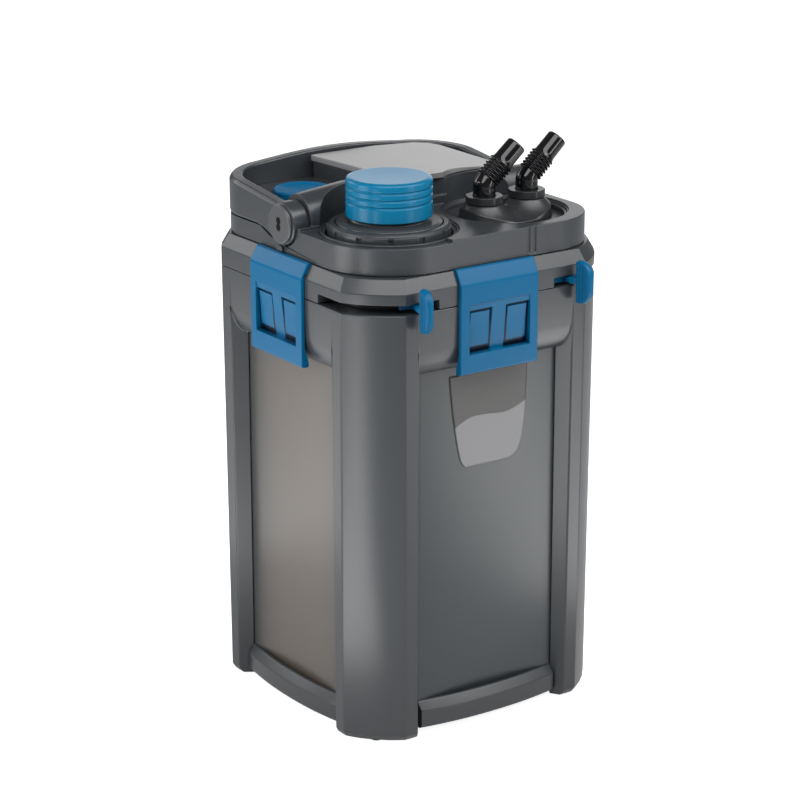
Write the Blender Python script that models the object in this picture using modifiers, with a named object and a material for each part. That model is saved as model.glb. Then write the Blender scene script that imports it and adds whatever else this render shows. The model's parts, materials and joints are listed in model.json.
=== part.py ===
"""External canister filter with quick-release prefilter. Metres, +Z up, front is -Y, stands on z = 0."""

import math

import bmesh
import bpy
from mathutils import Matrix, Vector

MM = 0.001

# Driving dimensions, in millimetres.
BODY_HALF = 125.0  # flange and collar, half width
CORNER_CUT = 36.5  # how far each corner facet runs back from the corner
SEAM_Z = 361.4  # top of the collar
BASE_Z0 = 362.0  # underside of the pump head
BASE_Z1 = 389.0  # top of the head flange
CHAMFER_Z = 378.0
TANK_HALF = 112.0
TANK_R = 48.0
WALL = 3.0
HOUSING_HALF = 118.0
LEFT_RIM_Z = 411.0
RIM_Z = 413.5
WELL = (-57.0, -57.0)  # prefilter well axis
WELL_R = 55.5
PORT_WELL = (58.0, -56.0)
PORT_WELL_R = 52.0
PORTS = ((36.3, -57.0), (79.3, -57.0))
PIVOT_Y = 1.5
PIVOT_Z = 414.0
HUB_R = 17.6
ROTOR = (40.0, 45.0)
BUTTON = (-66.0, 55.0)
BUTTON_R = 24.6
LEVER_AXIS = (-63.0, -63.0)
CLIP_HALF = 37.0
CLIP_AXIS_Y = -122.3
CLIP_AXIS_Z = 386.3
CLIP_BEAD_R = 4.0
CENTRE_SHIFT = 7.67  # puts the middle of the overall box, levers included, over the origin

GREY = (0.115, 0.122, 0.128, 1)
DARK = (0.045, 0.05, 0.054, 1)
BLUE = (0.0, 0.19, 0.42, 1)
SILVER = (0.5, 0.51, 0.52, 1)
BLACK = (0.006, 0.006, 0.007, 1)
SMOKE = (0.13, 0.125, 0.12, 1)
FOAM = (0.03, 0.08, 0.16, 1)


def clear_scene():
    for obj in list(bpy.data.objects):
        bpy.data.objects.remove(obj, do_unlink=True)


def new_collection(name):
    made = bpy.data.collections.new(name)
    bpy.context.scene.collection.children.link(made)
    return made


clear_scene()
filter_parts = new_collection("canister_filter")
cutters = new_collection("cutters")
cutters.hide_render = True


def place(obj, colour, rough=0.45, metal=0.0):
    """A colour makes the object a part, no colour makes it a helper."""
    if colour is None:
        cutters.objects.link(obj)
        obj.hide_render = True
        obj.display_type = "WIRE"
        return obj
    filter_parts.objects.link(obj)
    material = bpy.data.materials.new(obj.name)
    material.use_nodes = True
    shader = material.node_tree.nodes["Principled BSDF"]
    shader.inputs["Base Color"].default_value = colour
    shader.inputs["Roughness"].default_value = rough
    shader.inputs["Metallic"].default_value = metal
    material.diffuse_color = colour
    obj.data.materials.append(material)
    return obj


def from_bmesh(name, bm, colour, rough=0.45, metal=0.0):
    bmesh.ops.recalc_face_normals(bm, faces=bm.faces)
    if bm.calc_volume(signed=True) < 0:
        bmesh.ops.reverse_faces(bm, faces=bm.faces)
    mesh = bpy.data.meshes.new(name)
    bm.to_mesh(mesh)
    bm.free()
    return place(bpy.data.objects.new(name, mesh), colour, rough, metal)


def loft(name, rings, colour=None, rough=0.45, metal=0.0):
    """A closed body through rings of equal length, each a list of (x, y, z)."""
    bm = bmesh.new()
    loops = [[bm.verts.new(Vector(p) * MM) for p in ring] for ring in rings]
    count = len(loops[0])
    for low, high in zip(loops, loops[1:]):
        for i in range(count):
            j = (i + 1) % count
            bm.faces.new((low[i], low[j], high[j], high[i]))
    bm.faces.new(list(reversed(loops[0])))
    bm.faces.new(loops[-1])
    return from_bmesh(name, bm, colour, rough, metal)


def stack(name, layers, colour=None, rough=0.45, metal=0.0):
    """A loft upwards through (outline, z) layers."""
    rings = [[(x, y, z) for x, y in outline] for outline, z in layers]
    return loft(name, rings, colour, rough, metal)


def prism(name, outline, z0, z1, colour=None, rough=0.45):
    return stack(name, [(outline, z0), (outline, z1)], colour, rough)


def boxes(name, sizes, colour=None, rough=0.45):
    """One mesh of separate boxes, each (x0, x1, y0, y1, z0, z1)."""
    bm = bmesh.new()
    for x0, x1, y0, y1, z0, z1 in sizes:
        made = bmesh.ops.create_cube(bm, size=1.0)
        size = Matrix.Diagonal(((x1 - x0) * MM, (y1 - y0) * MM, (z1 - z0) * MM, 1))
        shift = Vector(((x0 + x1) / 2, (y0 + y1) / 2, (z0 + z1) / 2)) * MM
        bmesh.ops.transform(bm, matrix=Matrix.Translation(shift) @ size, verts=made["verts"])
    return from_bmesh(name, bm, colour, rough)


def turned(name, profile, centre, colour=None, steps=40, ring=False, rough=0.45, metal=0.0, turn=None):
    """A Screw of (radius, z) points, running top to bottom on the outer side; ring closes the loop."""
    mesh = bpy.data.meshes.new(name)
    edges = [(i, i + 1) for i in range(len(profile) - 1)]
    if ring:
        edges.append((len(profile) - 1, 0))
    mesh.from_pydata([(r * MM, 0, z * MM) for r, z in profile], edges, [])
    obj = bpy.data.objects.new(name, mesh)
    screw = obj.modifiers.new("turn", "SCREW")
    screw.steps = steps
    screw.render_steps = steps
    screw.use_merge_vertices = True
    screw.merge_threshold = 0.00002
    obj.location = Vector(centre) * MM
    if turn is not None:
        obj.rotation_euler = turn
    return place(obj, colour, rough, metal)


def rod(name, centre, radius, z0, z1, colour=None, steps=40, rough=0.45, metal=0.0, turn=None):
    """A cylinder from z0 to z1 above centre, along its own Z."""
    profile = [(0, z1), (radius, z1), (radius, z0), (0, z0)]
    return turned(name, profile, centre, colour, steps, False, rough, metal, turn)


def boolean(obj, others, operation):
    for other in others:
        modifier = obj.modifiers.new(operation.lower(), "BOOLEAN")
        modifier.operation = operation
        modifier.solver = "EXACT"
        modifier.object = other
    return obj


def cut(obj, *others):
    return boolean(obj, others, "DIFFERENCE")


def join(obj, *others):
    return boolean(obj, others, "UNION")


def origin_at(obj, point):
    shift = Vector(point) * MM
    obj.data.transform(Matrix.Translation(-shift))
    obj.location = shift
    return obj


def arc(cx, cy, radius, first, last, count):
    """Points on an arc, angles in degrees, both ends included."""
    found = []
    for i in range(count + 1):
        angle = math.radians(first + (last - first) * i / count)
        found.append((cx + radius * math.cos(angle), cy + radius * math.sin(angle)))
    return found


def facet_outline(half, cut_back=CORNER_CUT, sag=3.5):
    """The square body outline with a shallow arc across each corner."""
    found = []
    for quarter in range(4):
        angle = math.radians(90 * quarter)
        c, s = math.cos(angle), math.sin(angle)
        for i in range(5):
            t = i / 4
            bow = sag * 4 * t * (1 - t) / math.sqrt(2)
            x = half - cut_back * t + bow
            y = half - cut_back * (1 - t) + bow
            found.append((x * c - y * s, x * s + y * c))
    return found


def round_outline(half, radii, count=8):
    """A square outline with its own radius at each corner: back right, back left, front left, front right."""
    found = []
    for quarter, radius in enumerate(radii):
        angle = math.radians(90 * quarter + 45)
        cx = math.copysign(half - radius, math.cos(angle))
        cy = math.copysign(half - radius, math.sin(angle))
        found += arc(cx, cy, radius, 90 * quarter, 90 * quarter + 90, count)
    return found


def quarter_turn(quarter):
    return Matrix.Rotation(math.radians(90 * quarter), 4, "Z")


# ---------------------------------------------------------------- canister


def build_canister():
    outer = round_outline(TANK_HALF, (TANK_R,) * 4)
    inner = round_outline(TANK_HALF - WALL, (TANK_R - WALL,) * 4)
    tank = prism("canister", outer, 12.0, 361.0, SMOKE, 0.3)
    return cut(tank, prism("tank_bore", inner, 15.0, 370.0))


def window_cutter(quarter):
    """The gap between two legs, rounded over under the collar."""
    side = [(-132.0, -5.0), (-132.0, 320.0)] + arc(-113.0, 320.0, 12.0, 180, 270, 5)
    side += [(-111.6, 308.0), (-111.6, -5.0)]
    rings = []
    for sign in (-1, 1):
        rings.append([(sign * (68.0 - (y + 112.0) * 8 / 13), y, z) for y, z in side])
    window = loft(f"window_{quarter}", rings)
    window.data.transform(quarter_turn(quarter))
    return window


def build_frame():
    full = facet_outline(BODY_HALF)
    foot = facet_outline(BODY_HALF - 1.6)
    toe = facet_outline(BODY_HALF - 4.6, CORNER_CUT - 1.5)
    frame = stack("outer_frame", [(toe, 1.5), (foot, 6.0), (full, 300.0), (full, SEAM_Z)], GREY)
    cavity = round_outline(TANK_HALF + 0.4, (TANK_R + 0.4,) * 4)
    cut(frame, prism("frame_bore", cavity, -5.0, 370.0))
    cut(frame, *[window_cutter(quarter) for quarter in range(4)])
    for i, (sx, sy) in enumerate(((-1, -1), (1, -1), (1, 1), (-1, 1))):
        spot = (sx * 100.6, sy * 100.6, 0)
        cut(frame, rod(f"foot_socket_{i}", spot, 4.9, -5.0, 4.4, steps=20))
        rod(f"foot_{i + 1}", spot, 4.5, 0.0, 4.0, BLACK, 20, 0.8)
    return frame


def sill(quarter):
    side = [(-98.0, 6.0), (-120.5, 6.0), (-122.0, 8.0), (-122.0, 23.0), (-117.5, 29.0)]
    side += [(-114.8, 29.0), (-114.8, 11.5), (-98.0, 11.5)]
    rings = []
    for sign in (-1, 1):
        rings.append([(sign * (67.4 - (y + 112.0) * 8 / 13), y, z) for y, z in side])
    bar = loft(f"sill_{quarter}", rings)
    bar.data.transform(quarter_turn(quarter))
    return bar


def build_base_tray():
    plate = round_outline(TANK_HALF - 2.0, (TANK_R - 2.0,) * 4)
    tray = prism("base_tray", plate, 6.4, 11.2, GREY)
    return join(tray, *[sill(quarter) for quarter in range(4)])


# ---------------------------------------------------------------- pump head


def build_head_base():
    lip = facet_outline(BODY_HALF)
    plateau = facet_outline(BODY_HALF - 6.0, CORNER_CUT - 3.0)
    base = stack("head_base", [(lip, BASE_Z0), (lip, CHAMFER_Z), (plateau, BASE_Z1)], GREY)
    wide = round_outline(107.4, (43.4,) * 4)
    neck = round_outline(104.4, (40.4,) * 4)
    plug = stack(
        "plug",
        [(wide, 345.0), (wide, 351.6), (neck, 351.6), (neck, 356.4), (wide, 356.4), (wide, 364.0)],
    )
    join(base, plug)
    cut(base, rod("base_bore", (*WELL, 0), 43.6, 340, 395, steps=56))
    for i, (x, y) in enumerate(PORTS):
        cut(base, rod(f"base_port_{i}", (x, y, 0), 8.0, 340, 395, steps=24))
    chamber = [(0, 395), (11.0, 395), (11.0, 374.0), (26.0, 374.0), (26.0, 340.0), (0, 340.0)]
    cut(base, turned("pump_chamber", chamber, (*ROTOR, 0), steps=32))
    for side in (-1, 1):
        cut(base, lever_channel(side))
    for quarter in range(4):
        groove = rod(f"bead_groove_{quarter}", (0, 0, 0), 4.5, -38.0, 38.0, steps=20)
        spin = Matrix.Rotation(math.radians(90), 4, "Y")
        shift = Matrix.Translation(Vector((0, CLIP_AXIS_Y, CLIP_AXIS_Z)) * MM)
        groove.matrix_world = quarter_turn(quarter) @ shift @ spin
        cut(base, groove)
    return base


def lever_channel(side):
    """The curved slot that a release lever swings in, on the left (-1) or right (1) front corner."""
    x, y = LEVER_AXIS
    outline = arc(x, y, 46.5, -84, -186, 14) + arc(x, y, 95.0, -186, -84, 14)
    if side > 0:
        outline = [(-px, py) for px, py in reversed(outline)]
    return prism(f"lever_channel_{side + 1}", outline, 361.9, 369.6)


def build_gasket():
    outer = round_outline(108.6, (44.6,) * 4)
    inner = round_outline(104.8, (40.8,) * 4)
    gasket = prism("head_gasket", outer, 352.0, 356.0, BLACK, 0.8)
    return cut(gasket, prism("gasket_bore", inner, 350.0, 358.0))


def motor_outline(grow=0.0):
    """Plan of the raised motor block behind the port well."""
    g = grow
    return [
        (-26.0 - g, 101.0 + g),
        (-19.0 - g, 26.0),
        (-12.0 - g, -8.0 - g),
        (60.0, -12.0 - g),
        (86.0 + g, -12.0 - g),
        (92.0 + g, 8.0),
        (92.0 + g, 84.0),
        (88.0 + g, 94.0 + g),
        (77.0, 101.0 + g),
    ]


def along_x(obj, centre):
    """Turns a rod so that its Z points along +X, through centre."""
    obj.rotation_euler = (0, math.radians(90), 0)
    obj.location = Vector(centre) * MM
    return obj


def build_housing():
    outline = round_outline(HOUSING_HALF, (47.0, 47.0, 61.0, 50.0), 12)
    housing = prism("upper_housing", outline, 389.4, RIM_Z, GREY)
    deck = [(106.5, -14.3)] + arc(70.5, 70.5, 36.0, 0, 90, 8) + arc(-70.5, 70.5, 36.0, 90, 180, 8)
    deck += [(-106.5, -14.3)]
    join(housing, prism("deck", deck, 400.0, 420.0))
    join(housing, prism("motor_block", motor_outline(), 405.0, 434.4))
    left_ridge = [(0, 85.0), (25.4, 85.0), (24.6, 45.0), (20.0, 0.0), (0, 0.0)]
    right_ridge = [(0, 25.0), (18.4, 25.0), (18.4, 0.0), (0, 0.0)]
    join(housing, along_x(turned("ridge_left", left_ridge, (0, 0, 0)), (-105.2, PIVOT_Y, PIVOT_Z + 2)))
    join(housing, along_x(turned("ridge_right", right_ridge, (0, 0, 0)), (80.2, PIVOT_Y, PIVOT_Z + 2)))
    cut_bands(housing)
    for side in (-1, 1):
        hole = rod(f"pin_hole_{side + 1}", (0, 0, 0), 5.4, -6.0, 9.0, steps=20)
        hole.rotation_euler = (0, math.radians(90 * side), 0)
        hole.location = Vector((side * 103.5, PIVOT_Y, PIVOT_Z)) * MM
        cut(housing, hole)
    cut(housing, rod("well_bore", (*WELL, 0), WELL_R, 400.0, 480.0, steps=64))
    cut(housing, boxes("left_step", [(-130, -39, -130, -20.5, LEFT_RIM_Z, 430.0)]))
    cut(housing, rod("port_bore", (*PORT_WELL, 0), PORT_WELL_R, 406.0, 480.0, steps=56))
    cut(housing, rod("drop_bore", (*WELL, 0), 43.6, 380.0, 405.0, steps=56))
    for i, (x, y) in enumerate(PORTS):
        cut(housing, rod(f"port_{i}", (x, y, 0), 8.0, 380.0, 410.0, steps=24))
    cut(housing, rod("button_bore", (*BUTTON, 0), BUTTON_R + 0.7, 405.0, 430.0, steps=48))
    cut(housing, rod("rotor_bore", (*ROTOR, 0), 11.0, 380.0, 414.0, steps=24))
    cut(housing, boxes("wall_grooves", [(35, 37, -120, -116.8, 392, 420), (41, 43, -120, -116.8, 392, 420)]))
    lug = boxes("lug", [(-121.5, -115.0, 1.0, 9.0, 391.4, 395.2)])
    join(housing, lug)
    gland = rod("gland_hole", (0, 0, 0), 4.6, -8.0, 8.0, steps=24, turn=(math.radians(90), 0, 0))
    gland.location = Vector((60.0, 116.0, 397.0)) * MM
    return cut(housing, gland)


def cut_bands(housing):
    """Room for the folded handle: a step round the back and a notch at each hub."""
    far = 135.0
    inside = [(106.9, PIVOT_Y)] + arc(70.9, 70.9, 36.0, 0, 90, 8) + arc(-70.9, 70.9, 36.0, 90, 180, 8)
    inside += [(-106.9, PIVOT_Y)]
    band = list(reversed(inside)) + [(far, PIVOT_Y), (far, far), (-far, far), (-far, PIVOT_Y)]
    cut(housing, prism("band_room", band, 404.5, 460.0))
    ramp = [(PIVOT_Y, 395.6), (24.0, 399.0), (37.0, 404.0), (37.0, 420.0), (PIVOT_Y, 420.0)]
    for side in (-1, 1):
        rings = [[(side * x, y, z) for y, z in ramp] for x in (105.9, 135.0)]
        cut(housing, loft(f"ramp_room_{side + 1}", rings))
        notch = rod(f"hub_room_{side + 1}", (0, 0, 0), HUB_R + 0.8, -15.0, 15.0, steps=48)
        cut(housing, along_x(notch, (side * 120.6, PIVOT_Y, PIVOT_Z)))


def build_motor_cover():
    outline = motor_outline(1.2)
    crease = ((37.0, 102.2), (24.0, -13.2))

    def height(x, y):
        t = (y - crease[1][1]) / (crease[0][1] - crease[1][1])
        line = crease[1][0] + (crease[0][0] - crease[1][0]) * t
        return 440.0 - max(0.0, x - line) * 0.055

    left = [p for p in outline if p[0] < 30] + [crease[1], crease[0]]
    right = [p for p in outline if p[0] > 30]
    bm = bmesh.new()
    made = {}

    def vertex(x, y, z):
        key = (round(x, 3), round(y, 3), round(z, 3))
        if key not in made:
            made[key] = bm.verts.new(Vector((x, y, z)) * MM)
        return made[key]

    ring = left[:3] + [crease[1]] + right + [crease[0]]
    for level, flip in ((434.9, True), (None, False)):
        for patch in (left[:3] + [crease[1], crease[0]], [crease[0], crease[1]] + right):
            face = [vertex(x, y, level or height(x, y)) for x, y in patch]
            bm.faces.new(face[::-1] if flip else face)
    for i, (x, y) in enumerate(ring):
        u, v = ring[(i + 1) % len(ring)]
        bm.faces.new(
            (vertex(x, y, 434.9), vertex(u, v, 434.9), vertex(u, v, height(u, v)), vertex(x, y, height(x, y)))
        )
    cover = from_bmesh("motor_cover", bm, SILVER, 0.35)
    cut(cover, rod("cover_well", (*WELL, 0), WELL_R + 1.0, 420.0, 480.0, steps=64))
    return cut(cover, rod("cover_port", (*PORT_WELL, 0), PORT_WELL_R + 1.0, 420.0, 480.0, steps=56))


def build_gland():
    profile = [(0, 8.0), (5.0, 8.0), (6.5, 6.5), (6.5, 2.6), (4.2, 2.6), (4.2, -5.0), (0, -5.0)]
    gland = turned("cable_gland", profile, (60, 116.0, 397), BLACK, 24, turn=(math.radians(-90), 0, 0))
    return gland


# ---------------------------------------------------------------- carry handle


def handle_station(s):
    """One cross-section of the band; s runs 0 to 1 from the left hub to the middle of the back."""
    arm = 69.5
    bend = 42.0 * math.pi / 2
    back = 71.0
    length = s * (arm + bend + back)
    if length <= arm:
        y = PIVOT_Y + length
        centre, normal = (-113.0, y), (-1.0, 0.0)
        top = 428.5 + max(0.0, y - 15.0) * 0.11
        low = 397.2 + 3.2 * min(1.0, y / 24.0) if y < 24 else min(405.5, 400.4 + (y - 24) * 0.40)
    elif length <= arm + bend:
        turn = (length - arm) / 42.0
        normal = (-math.cos(turn), math.sin(turn))
        centre = (-71.0 + 42.0 * normal[0], 71.0 + 42.0 * normal[1])
        top = 434.7 + 3.6 * (length - arm) / bend
        low = 405.5
    else:
        x = -71.0 + (length - arm - bend)
        centre, normal = (x, 113.0), (0.0, 1.0)
        top = 438.3 + 4.7 * math.sin((x + 71.0) / 71.0 * math.pi / 2)
        low = 405.5
    section = [(5.5, low + 1.2), (5.5, top - 3.0), (3.2, top), (-4.6, top), (-5.5, top - 1.0)]
    section += [(-5.5, low + 1.0), (-4.5, low), (4.3, low)]
    return [(centre[0] + d * normal[0], centre[1] + d * normal[1], z) for d, z in section]


def build_handle():
    marks = [0.0, 0.06, 0.10, 0.15, 0.20, 0.27, 0.335, 0.37, 0.41, 0.45, 0.49, 0.53, 0.57, 0.61, 0.65]
    marks += [0.70, 0.78, 0.86, 0.93, 1.0]
    rings = [handle_station(s) for s in marks]
    mirrored = [[(-x, y, z) for x, y, z in ring] for ring in reversed(rings[:-1])]
    handle = loft("carry_handle", rings + mirrored, GREY)
    origin_at(handle, (0, PIVOT_Y, PIVOT_Z))
    for side in (-1, 1):
        hub_profile = [(0, 7.3), (16.2, 7.3), (HUB_R, 6.0), (HUB_R, -7.3), (0, -7.3)]
        hub = turned(f"hub_{side + 1}", hub_profile, (0, 0, 0), steps=48)
        along_x(hub, (side * 113.5, PIVOT_Y, PIVOT_Z))
        hub.rotation_euler = (0, math.radians(90 * side), 0)
        join(handle, hub)
    for side in (-1, 1):
        bore = rod(f"hub_bore_{side + 1}", (0, 0, 0), 5.6, -20.0, 20.0, steps=24)
        cut(handle, along_x(bore, (side * 113.5, PIVOT_Y, PIVOT_Z)))
    return handle


def build_pivot_caps():
    profile = [(0, 123.8), (15.2, 123.8), (16.4, 122.8), (16.4, 121.3), (5.0, 121.3), (5.0, 98.6), (0, 98.6)]
    for side, name in ((-1, "pivot_cap_left"), (1, "pivot_cap_right")):
        cap = turned(name, profile, (0, PIVOT_Y, PIVOT_Z), GREY, 32, turn=(0, math.radians(90 * side), 0))
        for i, dz in enumerate((-2.3, 2.3)):
            hole = rod(f"{name}_key_{i}", (0, 0, 0), 2.6, -1.6, 1.6, steps=16)
            cut(cap, along_x(hole, (side * 123.8, PIVOT_Y, PIVOT_Z + dz)))


# ---------------------------------------------------------------- prefilter and button


def build_button():
    profile = [(0, 422.6), (9.0, 423.0), (17.0, 424.0), (21.0, 425.8), (23.4, 426.0), (BUTTON_R, 424.8)]
    profile += [(BUTTON_R, 412.5), (0, 412.5)]
    return turned("priming_button", profile, (*BUTTON, 0), BLUE, 40)


def build_lock_ring():
    outline = []
    for i in range(12):
        start = 30.0 * i
        outline += arc(*WELL, 49.5, start, start + 24.0, 4)
        outline += [p for a in (25.0, 29.0) for p in arc(*WELL, 47.6, start + a, start + a, 1)[:1]]
    ring = prism("lock_ring", outline, 400.6, 416.4, GREY)
    inner = rod("ring_bore", (*WELL, 0), 43.4, 390.0, 430.0, steps=56)
    rim = turned(
        "ring_top", [(43.0, 419.0), (46.8, 419.0), (48.6, 417.4), (48.6, 415.0), (43.0, 415.0)],
        (*WELL, 0), steps=56, ring=True,
    )
    join(ring, rim)
    cut(ring, inner)
    return origin_at(ring, (*WELL, 0))


def build_prefilter():
    collar = [
        (0, 423.4), (31.0, 423.4), (33.0, 421.0), (40.8, 421.0), (42.6, 419.6), (42.6, 404.0),
        (39.0, 400.0), (12.0, 400.0), (12.0, 52.0), (37.0, 52.0), (37.0, 48.0), (0, 48.0),
    ]
    turned("prefilter_collar", collar, (*WELL, 0), GREY, 40, rough=0.4)
    for i in range(4):
        low = 53.0 + 86.5 * i
        foam = [(37.0, low + 86.0), (37.0, low), (12.6, low), (12.6, low + 86.0)]
        turned(f"prefilter_foam_{i + 1}", foam, (*WELL, 0), FOAM, 24, True, 0.95)
    cap = [(0, 455.6), (31.8, 455.6), (33.8, 454.6), (34.6, 452.8), (34.6, 449.4), (33.5, 448.2)]
    cap += [(34.6, 447.0), (34.6, 443.6), (33.5, 442.4), (34.6, 441.2), (34.6, 437.6), (33.5, 436.4)]
    cap += [(34.6, 435.2), (34.6, 424.6), (33.6, 423.8), (0, 423.8)]
    turned("turn_cap", cap, (*WELL, 0), BLUE, 40)


# ---------------------------------------------------------------- hose connectors


def oval(cx, cy, a, b, power=2.4, count=32):
    found = []
    for i in range(count):
        angle = 2 * math.pi * i / count
        c, s = math.cos(angle), math.sin(angle)
        x = math.copysign(abs(c) ** (2 / power), c)
        y = math.copysign(abs(s) ** (2 / power), s)
        found.append((cx + a * x, cy + b * y))
    return found


def build_connector_block():
    cx, cy = 57.8, PORTS[0][1]
    layers = [(oval(cx, cy, a, b), z) for a, b, z in (
        (40.5, 28.5, 406.5), (40.5, 28.5, 408.6), (39.6, 26.0, 412.0), (38.6, 22.6, 415.0),
        (37.6, 19.0, 418.0), (37.2, 17.0, 419.4), (36.8, 15.6, 421.0))]
    block = stack("connector_block", layers, DARK, 0.3)
    origin_at(block, (cx, cy, 406.5))
    for i, (x, y) in enumerate(PORTS):
        cut(block, rod(f"block_port_{i}", (x, y, 0), 7.8, 395.0, 430.0, steps=24))
    return block


def build_elbow(index, heading):
    x, y = PORTS[index]
    knee = 437.5
    body = [(0, knee + 3.0), (6.2, knee + 3.0), (9.2, knee - 1.0), (9.2, 421.6), (7.4, 421.6), (7.4, 412.0)]
    body += [(0, 412.0)]
    elbow = turned(f"hose_elbow_{index + 1}", body, (x, y, 0), BLACK, 24, rough=0.12)
    tail = [(0, 41.5), (7.6, 41.5), (8.4, 40.6), (8.6, 25.5)]
    for i in range(6):
        z = 23.4 - 3.1 * i
        tail += [(10.0, z + 1.3), (10.4, z + 0.3), (8.9, z - 0.9)]
    tail += [(8.9, -2.0), (5.0, -6.0), (0, -6.0)]
    spin = (0, math.radians(45), math.radians(heading))
    arm = turned(f"tail_{index}", tail, (x, y, knee), steps=20, turn=spin)
    join(elbow, arm)
    cut(elbow, rod(f"tail_bore_{index}", (x, y, knee), 5.6, 0.0, 50.0, steps=16, turn=spin))
    return cut(elbow, rod(f"stem_bore_{index}", (x, y, 0), 5.6, 400.0, knee + 1.5, steps=16))


def build_nut(index):
    x, y = PORTS[index]
    outline = []
    for i in range(8):
        outline += arc(x, y, 15.2, 45 * i - 9, 45 * i + 9, 2)
    nut = prism(f"hose_nut_{index + 1}", outline, 421.4, 427.4, DARK, 0.3)
    cut(nut, rod(f"nut_bore_{index}", (x, y, 0), 9.7, 410.0, 440.0, steps=24))
    return origin_at(nut, (x, y, 0))


# ---------------------------------------------------------------- clips and levers


def clip_profile():
    inner = [(-121.8, 304.5)] + arc(-113.0, 320.0, 12.4, 225, 180, 3) + [(-125.4, 378.1), (-123.06, 382.38)]
    bead = arc(CLIP_AXIS_Y, CLIP_AXIS_Z, CLIP_BEAD_R, -101, 116, 10)
    return inner + bead + [(-131.0, 378.4), (-131.0, 306.5), (-129.6, 304.5)]


def window_slit(side):
    """A three-sided slit that leaves a tongue standing in one clip window."""
    top_out, top_in, low_in, low_out = 27.0, 6.5, 3.5, 25.0
    gap = 1.7
    outer = [(low_in, 325.0), (top_in, 356.5), (top_out, 356.5), (low_out, 325.0)]
    inner = [(low_out - gap, 325.0), (top_out - gap, 356.5 - 2 * gap), (top_in + gap, 356.5 - 2 * gap)]
    inner += [(low_in + gap, 325.0)]
    return [(side * x, z) for x, z in outer + inner]


def build_clip(quarter, name):
    rings = [[(x, y, z) for y, z in clip_profile()] for x in (-CLIP_HALF, CLIP_HALF)]
    clip = loft(name, rings, BLUE, 0.4)
    pane = boxes(f"{name}_pane", [(-29.5, 29.5, -140, -129.4, 321.0, 361.5)])
    slits = []
    for side in (-1, 1):
        outline = window_slit(side)
        slits.append(loft(f"{name}_slit_{side + 1}", [[(x, y, z) for x, z in outline] for y in (-140, -120)]))
    for helper in (pane, *slits):
        helper.data.transform(quarter_turn(quarter))
    clip.data.transform(quarter_turn(quarter))
    pin = quarter_turn(quarter) @ Vector((0, CLIP_AXIS_Y, CLIP_AXIS_Z))
    origin_at(clip, pin)
    return cut(clip, pane, *slits)


def build_lever(side, name):
    """Arm, curved slider and finger pad, laid out along +X from the axis and then turned."""
    arm = boxes(name, [(54.0, 69.5, -4.0, 4.0, 363.2, 368.6)], BLUE, 0.4)
    sector = arc(0, 0, 48.5, 14, -14, 6) + arc(0, 0, 57.0, -14, 14, 6)
    slider = prism(f"{name}_slider", sector, 363.2, 368.6)
    face = [(68.0, 349.0), (68.0, 382.0), (72.0, 383.6), (78.0, 380.5), (82.0, 374.5), (84.2, 366.0)]
    face += [(82.0, 357.0), (78.0, 350.6), (72.0, 347.4)]
    pad = loft(f"{name}_pad", [[(r, t, z) for r, z in face] for t in (-3.6, 3.6)])
    grooves = []
    for i in range(3):
        r = 70.8 + 3.4 * i
        grooves.append((r, r + 1.3, -5.0, -2.8, 352.0, 379.0))
        grooves.append((r, r + 1.3, 2.8, 5.0, 352.0, 379.0))
    ribs = boxes(f"{name}_grooves", grooves)
    turn = Matrix.Rotation(math.radians(-101 if side < 0 else -79), 4, "Z")
    shift = Matrix.Translation(Vector((side * abs(LEVER_AXIS[0]), LEVER_AXIS[1], 0)) * MM)
    for obj in (arm, slider, pad, ribs):
        obj.matrix_world = shift @ turn
    join(arm, slider, pad)
    return cut(arm, ribs)


# ---------------------------------------------------------------- inside the canister


def basket_outline(inset):
    """A square that leaves out the prefilter's corner."""
    half = 107.0 - inset
    radius = 43.0 - inset
    found = arc(half - radius, half - radius, radius, 0, 90, 5)
    found += arc(-(half - radius), half - radius, radius, 90, 180, 5)
    found += [(-half, -10.0 + inset), (-10.0 + inset, -10.0 + inset), (-10.0 + inset, -half)]
    return found + arc(half - radius, -(half - radius), radius, -90, 0, 5)


def build_baskets():
    for i in range(3):
        low = 17.0 + 106.0 * i
        basket = prism(f"media_basket_{i + 1}", basket_outline(0.0), low, low + 104.0, DARK, 0.6)
        cut(basket, prism(f"basket_bore_{i}", basket_outline(2.4), low + 2.4, low + 120.0))
        slots = [(-85.0, 85.0, y, y + 4.0, low - 5, low + 5) for y in (12.0, 30.0, 48.0, 66.0)]
        slots += [(8.0, 85.0, y, y + 4.0, low - 5, low + 5) for y in (-70.0, -50.0, -30.0)]
        cut(basket, boxes(f"basket_slots_{i}", slots))
        colour = FOAM if i == 0 else (0.35, 0.3, 0.24, 1)
        prism(f"filter_media_{i + 1}", basket_outline(3.2), low + 2.9, low + 88.0, colour, 0.95)


def build_pump():
    rotor = [(8.6, 411.0), (8.6, 373.0), (20.0, 371.0), (20.0, 364.0), (2.6, 364.0), (2.6, 411.0)]
    turned("impeller", rotor, (*ROTOR, 0), DARK, 24, ring=True)
    rod("impeller_shaft", (*ROTOR, 0), 2.1, 362.0, 413.4, (0.8, 0.8, 0.78, 1), 16)
    plate = turned(
        "pump_cover", [(29.0, 344.6), (29.0, 341.6), (8.0, 341.6), (8.0, 344.6)], (*ROTOR, 0), DARK, 32, True
    )
    return plate


def build_label():
    right = [(39.0, 300.0), (39.0, 268.0), (33.0, 229.0), (23.0, 221.5)]
    left = [(-23.5, 221.5), (-30.0, 247.0), (-37.0, 296.0), (-37.0, 300.0)]
    outline = left + right
    rings = [[(x, y, z) for x, z in outline] for y in (-112.35, -112.95)]
    return loft("label_plate", rings, (0.2, 0.2, 0.2, 1), 0.5)


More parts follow.
